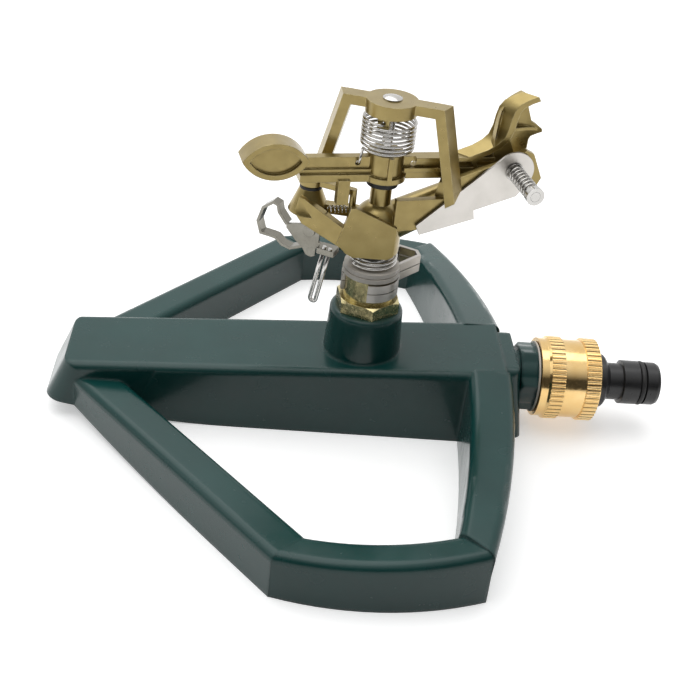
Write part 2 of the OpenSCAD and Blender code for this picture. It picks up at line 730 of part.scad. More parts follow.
module lens(l, h) {
    r = (l * l + h * h) / (4 * h);
    intersection() {
        translate([0, r - h / 2]) circle(r, $fn = 128);
        translate([0, h / 2 - r]) circle(r, $fn = 128);
    }
}
module spoon() {
    intersection() {
        translate([46, 4, 100]) linear_extrude(30) difference() {
            circle(9);
            circle(7);
            polygon([[0, 0], pol(20, -110), pol(28, -40), pol(20, 30)]);
        }
        translate([0, 20, 0]) rotate([90, 0, 0]) linear_extrude(40)
            polygon([[34, 105], [35.2, 111], [35.5, 121], [37, 123.2], [40, 126], [44.7, 127.8],
                [49.8, 126.2], [50.6, 124.5], [48.4, 122.6], [50.3, 118.7], [51.5, 116.5],
                [55.3, 113.5], [51.3, 111.5], [50.6, 105.7], [46.4, 103.8], [40, 104.5]]);
    }
}
module impact_arm() {
    color("#8f7b3d") in_head() difference() {
        union() {
            translate([0, 0, arm_z]) cylinder(r = hub_r, h = arm_h - 0.6);
            translate([0, 0, arm_z]) cylinder(r = hub_r + 1.3, h = 1.9);
            translate([-0.8, -hub_r - 1.3, arm_z]) cube([1.6, 4, arm_h - 0.6]);
            translate([-30, 1 - arm_web, arm_z]) cube([26, arm_web, arm_h]);
            translate([-30, -4.2, arm_z]) cube([26, 6.2, 2]);
            translate([-30, -3, arm_z]) cube([26, 3, 4.1]);
            translate([-weight_x, 3.5, arm_z + 7.8]) rotate([90, 0, 0]) linear_extrude(weight_d)
                lens(weight_len, weight_h);
            translate([4, 1 - arm_web, arm_z]) cube([34.5, arm_web, arm_h]);
            translate([6, -3, arm_z + 7]) cube([32.3, 5, 3.4]);
            translate([30, -3, arm_z]) cube([2.7, 5, arm_h]);
            translate([-16.8, -5, 88.5]) cube([4.1, 3.5, 9]);
            translate([0, 2, 0]) rotate([90, 0, 0]) linear_extrude(5)
                polygon([[24, 104], [24, 107], [30, 107.6], [34, 110], [36.8, 114], [38.8, 114],
                    [38.8, 108], [35, 106], [30, 103.6]]);
            spoon();
        }
        barrel_axis() cylinder(r1 = body_r + gap, r2 = barrel_r + gap + 0.3, h = barrel_len);
        barrel_axis() cylinder(r = barrel_r + gap, h = barrel_len + 2.4);
        translate([0, 0, 90]) cylinder(r = bushing_r + seat, h = 30);
        translate([-weight_x, 3.5 - weight_d + 1.5, arm_z + 7.8]) rotate([90, 0, 0])
            linear_extrude(5) lens(weight_len - 5, weight_h - 3.6);
        translate([9.5, 5, arm_z + 4.6]) rotate([90, 0, 0]) cylinder(r = 1, h = 10);
        translate([-10, 5, arm_z + 6.4]) rotate([90, 0, 0]) cylinder(r = 0.9, h = 10);
    }
}

module arm_bushing() {
    color("#e8e4da") tube(pin_r + run_fit, bushing_r, arm_z, arm_z + arm_h - 0.6);
}

module arm_spring() {
    z0 = arm_z + arm_h + 1.4;
    web_front = 1 - arm_web;
    coil = helix(spring_r, z0, hook_z, spring_n + 1 / 8, hook_a - 45);
    hook = [[-10, web_front + 2.4, arm_z + 6.4], [-10, web_front - 1.1, arm_z + 6.4],
        [-9.4, web_front - 1.3, arm_z + 10]];
    color("#c9c9c9") in_head() wire(concat(hook, coil, [[each pol(hook_r + 1.4, hook_a), hook_z],
        [each pol(hook_r - 2.4, hook_a), hook_z]]), spring_wire);
}

module bolt_axis(y) { translate([bolt_s, y, bolt_z]) rotate([90, 0, 0]) children(); }
module deflector_bolt() {
    color("#c4c4c4") in_head() {
        bolt_axis(web_y + web_t + bolt_head_t) cylinder(r = 3.1, h = bolt_head_t);
        bolt_axis(web_y + web_t) cylinder(r = bolt_r, h = web_t + bolt_len);
    }
}
module deflector_washer() {
    color("#c4c4c4") in_head() bolt_axis(sheet_y - gap)
        tube(bolt_r + seat, 3.2, 0, bolt_washer_t);
}
module deflector_spring() {
    z0 = -(sheet_y - gap - bolt_washer_t);
    z1 = bolt_len - web_y - 2.2;
    coil = helix(2.5, z0 + 0.9, z1 - 0.9, bolt_n, 0);
    n = len(coil) - 1;
    color("#cccccc") in_head() bolt_axis(0) wire(concat([[coil[0][0], coil[0][1], z0 + 0.02]], coil,
        [[coil[n][0], coil[n][1], z1 - 0.02]]), bolt_wire);
}
module deflector_cap() {
    color("#c4c4c4") in_head() bolt_axis(web_y - bolt_len + 2.2) difference() {
        cylinder(r = 3.1, h = 2.2);
        translate([0, 0, -1]) cylinder(r = bolt_r + seat, h = 5);
    }
}
module deflector_sheet() {
    color("#b9b9b9") in_head() translate([0, sheet_y + sheet, 0]) rotate([90, 0, 0])
        difference() {
            union() {
                linear_extrude(sheet) polygon([[11.7, 78.6], [10.7, 82.9], touch([10.7, 82.9], [bolt_s, bolt_z], 5.9, 1),
                    [bolt_s + 3, bolt_z + 3], touch([44.2, 92.5], [bolt_s, bolt_z], 5.9, -1),
                    [44.2, 92.5], [33.1, 88.5], [31.3, 86.2], [31.6, 84.3]]);
                translate([bolt_s, bolt_z, 0]) cylinder(r = 6, h = sheet);
            }
            translate([bolt_s, bolt_z, -1]) cylinder(r = bolt_r + run_fit, h = 5);
        }
}

module at_boss() { translate([boss[0], boss[1], 0]) children(); }
module latch_pin() {
    color("#c4c4c4") in_head() at_boss() {
        translate([0, 0, boss_z - 7]) cylinder(r = 1.5, h = 14.6);
    }
}
module latch_washer() {
    color("#141414") in_head() at_boss() tube(1.5 + seat, 3.9, boss_z, latch_z - gap);
}
module reversing_latch() {
    color("#8f7b3d") in_head() at_boss() difference() {
        union() {
            translate([0, 0, latch_z]) cylinder(r = latch_r, h = 4.6);
            translate([0, 0, latch_z]) rotate([0, 0, -35.7]) translate([0, -1.2, 0])
                cube([15.7, 2.4, 3]);
            translate([0, 0, latch_tip_z]) rotate([0, 0, -35.7]) translate([15.7, 0, 0])
                cylinder(r = 1.2, h = latch_z + 3 - latch_tip_z);
        }
        cylinder(r = 1.5 + run_fit, h = big);
    }
}

module on_wall() {
    translate([wall_a[0], wall_a[1], 0]) rotate([0, 0, wall_dir]) rotate([90, 0, 0])
        mirror([0, 0, 1]) children();
}
module trip_pin() {
    color("#c4c4c4") in_head() on_wall() {
        translate([12, 78, -wall_t]) cylinder(r = 1.4, h = wall_t + 2.4);
        translate([12, 78, 1.9]) cylinder(r = 2.4, h = 0.8);
    }
}
module trip_lever() {
    color("#b7b3a6") in_head() on_wall() difference() {
        union() {
            translate([0, 0, gap]) linear_extrude(1.2)
                polygon([[22, 82.5], [21, 79], [17.6, 74.7], [13.6, 69.3], [11, 67], [8.8, 67.3],
                    [8.5, 70.8], [8.6, 80], [11, 82]]);
            translate([0, 0, gap]) linear_extrude(4)
                strip([[21.5, 82.5], [25, 83.5], [30, 78], [29.6, 74], [25.3, 70], [18.1, 68.3],
                    [13.2, 69.2]], 1);
            translate([2.6, 69.8, -2.5]) cube([7.4, 3.6, 4 + gap - 0.3]);
        }
        translate([12, 78, -5]) cylinder(r = 1.4 + run_fit, h = 20);
        hairpin_legs(trip_wire + 2 * seat);
    }
}
module hairpin_legs(d) {
    r = (trip_gap + trip_wire) / 2;
    translate([7, 53, -1.1]) rotate([0, 0, 6]) for (x = [-r, r]) translate([x, 0, 0])
        rotate([-90, 0, 0]) cylinder(d = d, h = 19);
}
module trip_hairpin() {
    r = (trip_gap + trip_wire) / 2;
    color("#c9c9c9") in_head() on_wall() {
        hairpin_legs(trip_wire);
        translate([7, 53, -1.1]) rotate([180, 0, 6]) rotate_extrude(angle = 180) translate([r, 0])
            circle(d = trip_wire, $fn = 24);
    }
}
module trip_spring() {
    coil = helix(1.1, 0, 6.6, 5, 90);
    foot = [trip_spring_z - wall_top - 0.02, 1.1, 0];
    color("#c9c9c9") in_head() translate([-18.2, -0.9, trip_spring_z]) rotate([0, 90, 0])
        wire(concat([foot], coil, [[0, 1.1, 7.08]]), 0.45);
}

base_casting();
inlet_nipple();
nipple_washer();
hose_nut();
hose_washer();
hose_plug();
plug_ring();
bearing_nut();
bearing_washer();
upper_stop_collar();
lower_stop_collar();
turning_tube();
tube_seal();
thrust_washer();
bearing_spring();
sprinkler_body();
nozzle();
pivot_pin();
arm_washer();
impact_arm();
arm_bushing();
arm_spring();
deflector_bolt();
deflector_washer();
deflector_spring();
deflector_cap();
deflector_sheet();
latch_pin();
latch_washer();
reversing_latch();
trip_pin();
trip_lever();
trip_hairpin();
trip_spring();
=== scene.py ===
"""The looks of the impact sprinkler: camera, light, floor, finishes and the fuller head pieces.

Lengths are in millimetres of the part's frame and angles in degrees, unless a comment says so.
"""

import math

import bmesh
import bpy
from mathutils import Matrix, Vector

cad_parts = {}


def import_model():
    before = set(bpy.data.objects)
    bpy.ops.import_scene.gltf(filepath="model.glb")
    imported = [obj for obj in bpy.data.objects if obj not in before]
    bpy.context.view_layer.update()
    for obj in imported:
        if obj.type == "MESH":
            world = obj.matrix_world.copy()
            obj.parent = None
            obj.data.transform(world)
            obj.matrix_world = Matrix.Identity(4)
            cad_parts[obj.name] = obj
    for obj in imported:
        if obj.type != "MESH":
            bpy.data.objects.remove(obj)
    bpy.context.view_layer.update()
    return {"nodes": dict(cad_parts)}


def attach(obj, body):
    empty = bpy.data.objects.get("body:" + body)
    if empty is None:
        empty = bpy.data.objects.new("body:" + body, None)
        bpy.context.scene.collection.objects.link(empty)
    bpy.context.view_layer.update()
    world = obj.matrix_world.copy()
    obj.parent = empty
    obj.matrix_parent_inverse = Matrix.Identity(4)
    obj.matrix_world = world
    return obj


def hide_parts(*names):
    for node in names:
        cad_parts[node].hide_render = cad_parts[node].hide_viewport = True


MM = 0.001

# The photograph's camera. Its shift is a share of the picture's width, its clip in metres.
CAMERA_AT = (-42.0, -370.8, 266.38)
CAMERA_RIGHT = (0.99403, -0.03796, 0.10224)
CAMERA_UP = (-0.06581, 0.53881, 0.83985)
CAMERA_LENS = 61.386
CAMERA_SENSOR = 36.0
CAMERA_SHIFT = (-0.003739, -0.019687)
CAMERA_CLIP = (0.01, 20.0)

# Lights in metres and watts: name, place, size and power. All face one point above the floor.
LIGHTS = (
    ("overhead", (-0.3, 0.3, 1.5), (1.8, 1.8), 14.0),
    ("left", (-1.4, -0.3, 0.9), (0.9, 1.2), 3.0),
)
LIGHT_AIM = (0.0, 0.0, 0.03)

# The backdrop: where it brightens towards the back and the top, and how bright it gets
BACK_RANGE, BACK_LIGHT = (-0.35, 0.5), (0.06, 1.0)
TOP_RANGE, TOP_LIGHT = (0.45, 0.9), (0.0, 1.0)
BOUNCE_SHARE = 0.75
WHITE = (1.0, 1.0, 1.0, 1.0)

# The floor reaches this many metres each way, and is darker for the light that it bounces
FLOOR_HALF = 4.0
FLOOR_BOUNCE, FLOOR_SEEN = (0.32, 0.32, 0.32, 1), (0.94, 0.94, 0.94, 1)
FLOOR_ROUGH, FLOOR_GLOW = 0.9, 0.4

# Finishes. A pair of colours goes from darker to lighter, a noise is given by its cells per
# metre and its detail, and a range says what a noise is spread over.
NOISE_RANGE = (0.3, 0.7)
EDGE_COSINES = (0.99, 0.86)
BEVEL_SAMPLES = 4
# Each coat's paler edge colour is laid on its edges in patches. Part of it is paint worn thin, and
# part is a painted highlight where the rounded edges catch the light.
ENAMEL = {
    "colours": ((0.003, 0.042, 0.038, 1), (0.005, 0.053, 0.048, 1)),
    "cast": (45.0, 3.0), "skin": (420.0, 1.0), "cast_share": 0.85,
    "worn_and_highlight": (0.030, 0.090, 0.086, 1), "worn_and_highlight_edge": 1.0,
    "worn_and_highlight_patches": (160.0, 4.0), "worn_and_highlight_range": (0.35, 0.65, 0.1, 0.5),
    "cloud": (120.0, 4.0), "rough": (0.2, 0.29),
    "metallic": 0.0, "depth": 0.1, "edge": 1.8,
    "coat": {"Specular IOR Level": 0.3, "Coat Weight": 0.2, "Coat Roughness": 0.1},
}
LACQUER = {
    "colours": ((0.30, 0.225, 0.075, 1), (0.36, 0.275, 0.098, 1)),
    "cast": (190.0, 3.0), "skin": (1300.0, 2.0), "cast_share": 0.7,
    "worn_and_highlight": (0.56, 0.47, 0.24, 1), "worn_and_highlight_edge": 0.5,
    "worn_and_highlight_patches": (500.0, 4.0), "worn_and_highlight_range": (0.4, 0.6, 0.15, 0.8),
    "cloud": (350.0, 4.0), "rough": (0.27, 0.38),
    "metallic": 0.8, "depth": 0.04, "edge": 0.35,
    "coat": {"Coat Weight": 0.35, "Coat Roughness": 0.16},
}
METAL = {
    "fine": (900.0, 4.0), "broad": (110.0, 3.0), "spread": (0.05, 0.07),
    "metallic": 1.0, "depth": 0.01, "edge": 0.2,
}
PLASTIC = {
    "fine": (800.0, 3.0), "broad": (90.0, 3.0), "spread": (0.05, 0.06),
    "metallic": 0.0, "depth": 0.02, "edge": 0.25,
}
EVEN = (1.0, 1.0, 1.0)

# Bare finishes: kind, darker and lighter colour, roughness, and how the grain is drawn out
BARE = {
    "turned brass": (METAL, (0.78, 0.52, 0.21), (0.86, 0.62, 0.30), 0.14, EVEN),
    "yellow plating": (METAL, (0.47, 0.40, 0.20), (0.62, 0.54, 0.30), 0.22, EVEN),
    "bright zinc": (METAL, (0.50, 0.485, 0.46), (0.62, 0.61, 0.59), 0.2, EVEN),
    "drawn wire": (METAL, (0.46, 0.445, 0.42), (0.58, 0.565, 0.54), 0.18, (1, 1, 4)),
    "rolled sheet": (METAL, (0.58, 0.555, 0.515), (0.68, 0.65, 0.61), 0.34, (1, 8, 8)),
    # The lever's zinc is darkened to stand in for the dark reflections that the polished lever
    # shows: a painted reflection.
    "zinc painted dark for reflections": (METAL, (0.20, 0.19, 0.16), (0.27, 0.26, 0.225), 0.2, EVEN),
    "collar strip": (METAL, (0.36, 0.34, 0.32), (0.47, 0.45, 0.42), 0.36, (1, 1, 6)),
    "black plastic": (PLASTIC, (0.014, 0.014, 0.015), (0.02, 0.02, 0.021), 0.32, None),
    "black rubber": (PLASTIC, (0.012, 0.012, 0.012), (0.02, 0.02, 0.02), 0.55, None),
    "white nylon": (PLASTIC, (0.60, 0.56, 0.50), (0.70, 0.66, 0.60), 0.4, None),
}

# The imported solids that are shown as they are, under the finish that they get
FINISHED_NODES = {
    "green enamel": ("base_casting", "inlet_nipple"),
    "turned brass": ("hose_nut",),
    "yellow plating": ("bearing_nut",),
    "bright zinc": ("turning_tube", "pivot_pin", "latch_pin", "deflector_bolt",
                    "deflector_washer", "deflector_cap"),
    "collar strip": ("upper_stop_collar", "lower_stop_collar"),
    "black plastic": ("hose_plug",),
    "black rubber": ("plug_ring", "hose_washer", "tube_seal", "arm_washer", "latch_washer"),
    "white nylon": ("bearing_washer", "thrust_washer", "arm_bushing", "nipple_washer"),
}

# The head is drawn with its barrel along +X and stands turned by this much
HEAD_TURN = 12
HEAD_YAW = math.radians(HEAD_TURN)

# Room between parts that move past each other, that sit in each other, that turn on a pin
GAP, SEAT, RUN = 0.3, 0.03, 0.06
# Each solid of a joined piece is this share smaller than the one before it
HAIR = 0.0005
CIRCLE, WIRE_SIDES, STEPS_PER_TURN, SWEEP_STEPS, CURVE_STEPS = 64, 12, 32, 48, 6
SHARP_ANGLE = 28
FAR = 200.0

# Body: column, dome over it, post, barrel, and what is bored in them
BODY_R, BODY_Z, DOME_Z, POST_R, POST_Z = 8.7, 69.2, 79.0, 3.7, 94.0
TUBE_R, TUBE_DEPTH, WATER_R, PIVOT_R, PIVOT_DEPTH = 6.2, 5, 4.6, 1.9, 8
BARREL_Z, BARREL_LIFT, BARREL_LEN, BARREL_R, BARREL_ROOT_R = 77.5, 24.0, 40.0, 5.2, 7.0
BORE_R, RING_T, JET_R, JET_MOUTH_R = 3.8, 1.6, 2.2, 3.0

# Bridge: each leg's foot and top on the bridge's plane, the disc between the legs, and the
# lug with the hole that holds the arm's spring
BRIDGE_TURN, BRIDGE_TOP, BRIDGE_BAR, BRIDGE_HALF = -26.0, 124.6, 3.4, 3.0
LEFT_FOOT, LEFT_TOP = (-27, 78), (-16, BRIDGE_TOP)
RIGHT_FOOT, RIGHT_TOP = (-25.6, 93), (-17.8, BRIDGE_TOP)
DISC_R, DISC_T = 8.8, 4.6
LUG_TURN, LUG_HOLE_R = 235, 0.8

# The web that carries the deflector, the deflector's sheet and its bolt
WEB_Y, WEB_T, SHEET_T, SHEET_END_R = -8.6, 2.4, 0.9, 7.0
BOLT_S, BOLT_Z, BOLT_R = 43.5, 102.3, 1.7
ROOM_X, ROOM_Z, ROOM_RISE, ROOM_END = 10.5, 83.2, 39.5, 60

# Latch boss, latch and the wall in front of them
BOSS_REACH, BOSS_TURN, BOSS_LOW, BOSS_Z, PIN_R, PIN_DEPTH = 24.2, 159.3, 80.5, 89.0, 1.5, 8
LATCH_Z, LATCH_R, LATCH_TURN, LATCH_LEN, LATCH_TIP_Z = 90.3, 4.0, -35.7, 15.7, 84.6
LATCH_H, LATCH_ROOM = 4.6, 0.9
WALL_T, WALL_LEN = 2.6, 15.7

# Trip lever, its pin and its hairpin, all on the wall's plane
TRIP_W, TRIP_Z, TRIP_PIN_R, TRIP_HEAD_R = 12.0, 78.0, 1.4, 2.4
LEVER_FRONT, LEVER_T, LEVER_DEPTH = -3.9, 1.2, 4.0
HAIRPIN_FOOT, HAIRPIN_LEAN, HAIRPIN_LEN = (9.2, 49.0, -1.1), 9.4, 21.8
HAIRPIN_WIRE, HAIRPIN_R, HAIRPIN_STEPS = 1.5, 1.1, 16

# Arm: hub, two beams from root to end, flanges, weight with a dished face, and spoon
ARM_Z, ARM_H, ARM_BACK, ARM_WEB = 96.6, 8.2, 1, 3.0
LEFT_ROOT, LEFT_END, RIGHT_ROOT, RIGHT_END = -4, -30, 4, 38.5
FLANGE_Y, FLANGE_W, FLANGE_T, FLANGE_END, LOW_FLANGE_UP = -3.6, 5.0, 1.5, 38.3, 3
HUB_H, HUB_R, HUB_RING, HUB_RING_H, HUB_RIB, BUSHING_R = 9.6, 6.3, 1.3, 1.9, 0.8, 3.2
WEIGHT_X, WEIGHT_LEN, WEIGHT_H, WEIGHT_D, WEIGHT_Y = 38.5, 22.4, 13.0, 8.6, 3.5
DISH_MARGIN, DISH_DEPTH = (5, 3.6), 1.5
SPOON_TURN, SPOON_T = 41.2, 1.7
SWEEP_ARC = (-130.0, 20.0)

# Springs: each coil is drawn round Z. The bolt's and the trip's are then moved to their axes.
ARM_COIL = {"radius": 8.9, "low": 107.9, "high": 118.0, "turns": 7.125, "start": 190, "wire": 0.95}
ARM_HOOK = ((-10.0, 0.5, 101.9), (-10.0, -0.6, 102.3), (-10.0, -2.2, 102.6), (-10.1, -3.3, 103.6),
            (-9.7, -3.5, 105.6))
ARM_TAIL_REACH = (8.5, 4.7)
TAIL_POINTS = 3
BEARING_COIL = {"radius": 8.1, "low": 64.4, "high": 67.9, "turns": 2, "start": -150, "wire": 1.3}
BOLT_COIL = {"radius": 2.5, "low": 11.5, "high": 26.0, "turns": 7, "start": 0, "wire": 0.8}
TRIP_COIL = {"radius": 1.1, "low": 0.0, "high": 6.6, "turns": 5, "start": 90, "wire": 0.45}
TRIP_COIL_AT = (-18.2, -0.9, 85.1)
TRIP_COIL_ENDS = ((1.9, 1.1, 0.0), (0.0, 1.1, 7.08))


def show(thing):
    bpy.context.scene.collection.objects.link(thing)


def make_camera():
    right = Vector(CAMERA_RIGHT).normalized()
    up = Vector(CAMERA_UP)
    up = (up - right * up.dot(right)).normalized()
    back = right.cross(up)
    data = bpy.data.cameras.new("camera")
    camera = bpy.data.objects.new("camera", data)
    show(camera)
    turn = Matrix((right, up, back)).transposed()
    camera.matrix_world = Matrix.Translation(Vector(CAMERA_AT) * MM) @ turn.to_4x4()
    data.sensor_width = CAMERA_SENSOR
    data.lens = CAMERA_LENS
    data.shift_x, data.shift_y = CAMERA_SHIFT
    data.clip_start, data.clip_end = CAMERA_CLIP
    bpy.context.scene.camera = camera


def area_light(name, place, size, power):
    """A soft white rectangular light that faces LIGHT_AIM."""
    data = bpy.data.lights.new(name, "AREA")
    data.shape = "RECTANGLE"
    data.size, data.size_y = size
    data.energy = power
    light = bpy.data.objects.new(name, data)
    show(light)
    light.location = place
    light.rotation_mode = "QUATERNION"
    light.rotation_quaternion = (Vector(place) - Vector(LIGHT_AIM)).to_track_quat("Z", "Y")


class Nodes:
    """A short way to write a node tree."""

    def __init__(self, tree):
        self.tree = tree
        tree.nodes.clear()

    def add(self, kind, inputs=None, **settings):
        node = self.tree.nodes.new(kind)
        for key, value in settings.items():
            setattr(node, key, value)
        for key, value in (inputs or {}).items():
            self.set(node.inputs[key], value)
        return node

    def set(self, socket, value):
        if isinstance(value, bpy.types.NodeSocket):
            self.tree.links.new(value, socket)
        else:
            socket.default_value = value

    def math(self, kind, a, b):
        return self.add("ShaderNodeMath", {0: a, 1: b}, operation=kind).outputs[0]

    def ramp(self, factor, low, high, bottom=0.0, top=1.0):
        """Maps factor from low..high to bottom..top."""
        names = ("Value", "From Min", "From Max", "To Min", "To Max")
        values = dict(zip(names, (factor, low, high, bottom, top)))
        return self.add("ShaderNodeMapRange", values).outputs[0]

    def mix(self, factor, a, b):
        """A colour between a and b. Inputs 6 and 7 and output 2 are the node's colour sockets."""
        return self.add("ShaderNodeMix", {0: factor, 6: a, 7: b}, data_type="RGBA").outputs[2]

    def noise(self, scale, detail, stretch=None):
        """Noise in object space."""
        place = self.add("ShaderNodeTexCoord").outputs["Object"]
        if stretch:
            place = self.add("ShaderNodeMapping", {"Vector": place, "Scale": stretch}).outputs[0]
        values = {"Vector": place, "Scale": scale, "Detail": detail}
        return self.add("ShaderNodeTexNoise", values).outputs["Fac"]

    def bevel(self, radius):
        """The normal of a surface whose edges are rounded off by radius."""
        values = {"Radius": radius * MM}
        return self.add("ShaderNodeBevel", values, samples=BEVEL_SAMPLES).outputs[0]

    def output(self, kind, shader):
        self.tree.links.new(shader.outputs[0], self.add(kind).inputs["Surface"])


def new_material(name):
    material = bpy.data.materials.new(name)
    material.use_nodes = True
    return material, Nodes(material.node_tree)


def edge_mask(n, radius):
    """1 where the surface turns sharply within radius, 0 on the open faces."""
    true = n.add("ShaderNodeNewGeometry").outputs["Normal"]
    same = n.add("ShaderNodeVectorMath", {0: n.bevel(radius), 1: true}, operation="DOT_PRODUCT")
    return n.ramp(same.outputs["Value"], *EDGE_COSINES)


def finish_surface(n, look, colour, roughness, height):
    """Joins the values to a Principled shader with softened edges and a bump."""
    normal = n.add(
        "ShaderNodeBump",
        {"Height": height, "Distance": look["depth"] * MM, "Normal": n.bevel(look["edge"])},
    ).outputs[0]
    values = {"Base Color": colour, "Metallic": look["metallic"], "Roughness": roughness,
              "Normal": normal, **look.get("coat", {})}
    n.output("ShaderNodeOutputMaterial", n.add("ShaderNodeBsdfPrincipled", values))


def coating(name, look):
    """A coat over a rough casting, paler in patches along the edges: partly paint worn thin there,
    partly a painted highlight on the edges.
    """
    material, n = new_material(name)
    cast, skin = n.noise(*look["cast"]), n.noise(*look["skin"])
    colour = n.mix(n.ramp(cast, *NOISE_RANGE), *look["colours"])
    worn_and_highlight_patches = n.ramp(n.noise(*look["worn_and_highlight_patches"]), *look["worn_and_highlight_range"])
    # Paler colour on the edges: partly paint worn thin, partly a painted highlight.
    colour = n.mix(n.math("MULTIPLY", edge_mask(n, look["worn_and_highlight_edge"]), worn_and_highlight_patches), colour, look["worn_and_highlight"])
    rough = n.ramp(n.noise(*look["cloud"]), *NOISE_RANGE, *look["rough"])
    share = look["cast_share"]
    height = n.math("ADD", n.math("MULTIPLY", cast, share), n.math("MULTIPLY", skin, 1 - share))
    finish_surface(n, look, colour, rough, height)
    return material


def bare(name, kind, low, high, rough, grain):
    """An uncoated metal or plastic, whose grain may be drawn out along one direction."""
    material, n = new_material(name)
    fine, broad = n.noise(*kind["fine"], grain), n.noise(*kind["broad"])
    colour = n.mix(n.ramp(broad, *NOISE_RANGE), (*low, 1), (*high, 1))
    less, more = kind["spread"]
    roughness = n.ramp(fine, *NOISE_RANGE, rough - less, rough + more)
    finish_surface(n, kind, colour, roughness, fine)
    return material


def make_finishes():
    made = {"green enamel": coating("green enamel", ENAMEL)}
    made["gold lacquer"] = coating("gold lacquer", LACQUER)
    for name, look in BARE.items():
        made[name] = bare(name, *look)
    return made


def finish_nodes(frame, finishes):
    for finish, names in FINISHED_NODES.items():
        for name in names:
            for slot in frame["nodes"][name].material_slots:
                slot.material = finishes[finish]


def put(name, mesh, body, node, finish):
    """Shows a mesh, already in place, that stands for a node of the frame and rides its body."""
    piece = bpy.data.objects.new(name, mesh)
    mesh.materials.clear()
    mesh.materials.append(finish)
    show(piece)
    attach(piece, body)
    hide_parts(node)


def in_head(points):
    """Turns points that are drawn with the barrel along +X to their place in the frame."""
    return [Matrix.Rotation(HEAD_YAW, 3, "Z") @ Vector(p) for p in points]


def smooth_path(points):
    """Points along a Catmull-Rom curve through the given points."""
    ends = [points[0], *points, points[-1]]
    made = []
    for i in range(1, len(ends) - 2):
        a, b, c, d = (Vector(p) for p in ends[i - 1 : i + 3])
        for k in range(CURVE_STEPS):
            t = k / CURVE_STEPS
            square = (2 * a - 5 * b + 4 * c - d) * t**2
            cube = (3 * b - a - 3 * c + d) * t**3
            made.append(0.5 * (2 * b + (c - a) * t + square + cube))
    return made + [Vector(points[-1])]


def on_circle(radius, angle, height):
    return Vector((radius * math.cos(angle), radius * math.sin(angle), height))


def coil_points(coil):
    """A helix round the Z axis."""
    count = round(coil["turns"] * STEPS_PER_TURN)
    start, low, rise = math.radians(coil["start"]), coil["low"], coil["high"] - coil["low"]
    return [
        on_circle(coil["radius"], start + 2 * math.pi * i / STEPS_PER_TURN, low + rise * i / count)
        for i in range(count + 1)
    ]


def wire_mesh(name, points, diameter):
    """A round wire along points, with closed ends."""
    points = [Vector(p) * MM for p in points]
    radius, count = diameter / 2 * MM, len(points)
    ways = [
        (points[min(i + 1, count - 1)] - points[max(i - 1, 0)]).normalized() for i in range(count)
    ]
    side = ways[0].orthogonal().normalized()
    corners, faces = [], []
    for point, way in zip(points, ways):
        side = (side - way * side.dot(way)).normalized()
        other = way.cross(side)
        for k in range(WIRE_SIDES):
            angle = 2 * math.pi * k / WIRE_SIDES
            corners.append(point + radius * (math.cos(angle) * side + math.sin(angle) * other))
    for i in range(count - 1):
        for k in range(WIRE_SIDES):
            a, b = i * WIRE_SIDES + k, i * WIRE_SIDES + (k + 1) % WIRE_SIDES
            faces.append((a, b, b + WIRE_SIDES, a + WIRE_SIDES))
    last = (count - 1) * WIRE_SIDES
    faces.append(tuple(range(WIRE_SIDES - 1, -1, -1)))
    faces.append(tuple(range(last, last + WIRE_SIDES)))
    mesh = bpy.data.meshes.new(name)
    mesh.from_pydata(corners, [], faces)
    mesh.polygons.foreach_set("use_smooth", [len(f) == 4 for f in faces])
    return mesh


def wire_piece(name, points, diameter, body, node, finish):
    put(name, wire_mesh(name, points, diameter), body, node, finish)


def arm_spring_points():
    """The arm's spring: its hook in the arm, its coil and its tail in the bridge's lug."""
    lug = math.radians(LUG_TURN)
    tail = [on_circle(reach, lug, ARM_COIL["high"]) for reach in ARM_TAIL_REACH]
    coil = coil_points(ARM_COIL)
    start = smooth_path([*ARM_HOOK, coil[0]])[:-1]
    return in_head(start + coil[:-TAIL_POINTS] + smooth_path([coil[-TAIL_POINTS], *tail]))


def bolt_spring_points():
    points = coil_points(BOLT_COIL)
    return in_head([(BOLT_S + p.x, -p.z, BOLT_Z + p.y) for p in points])


def trip_spring_points():
    x, y, z = TRIP_COIL_AT
    first, last = (Vector(end) for end in TRIP_COIL_ENDS)
    points = [first, *coil_points(TRIP_COIL), last]
    return in_head([(x + p.z, y + p.y, z - p.x) for p in points])


def make_springs(wire):
    """The four wound springs as smooth round wires. The arm's spring turns with the arm."""
    wire_piece("arm_spring_wire", arm_spring_points(), ARM_COIL["wire"], "arm", "arm_spring", wire)
    wire_piece("bearing_spring_wire", coil_points(BEARING_COIL), BEARING_COIL["wire"], "head",
               "bearing_spring", wire)
    wire_piece("deflector_spring_wire", bolt_spring_points(), BOLT_COIL["wire"], "head",
               "deflector_spring", wire)
    wire_piece("trip_spring_wire", trip_spring_points(), TRIP_COIL["wire"], "head",
               "trip_spring", wire)


def at(x=0.0, y=0.0, z=0.0):
    return Matrix.Translation((x, y, z))


def turned(degrees, axis):
    return Matrix.Rotation(math.radians(degrees), 4, axis)


# Planes that outlines are drawn on: seen from the front, on the bridge, along the barrel
# and on the outer face of the front wall
FRONT = turned(90, "X")
BRIDGE = turned(BRIDGE_TURN, "Z") @ turned(90, "X")
BARREL = at(z=BARREL_Z) @ turned(90 - BARREL_LIFT, "Y")
WALL = at(-13.5, -5.8) @ turned(144, "Z") @ turned(90, "X") @ Matrix.Scale(-1, 4, (0, 0, 1))
# Places of the latch's boss, the deflector's bolt, the trip pin, the hairpin and the lug
BOSS = turned(BOSS_TURN, "Z") @ at(BOSS_REACH) @ turned(-BOSS_TURN, "Z")
BOLT = at(BOLT_S, 0, BOLT_Z) @ turned(90, "X")
TRIP = WALL @ at(TRIP_W, TRIP_Z)
HAIRPIN = WALL @ at(*HAIRPIN_FOOT) @ turned(HAIRPIN_LEAN, "Z")
LUG = turned(LUG_TURN, "Z")


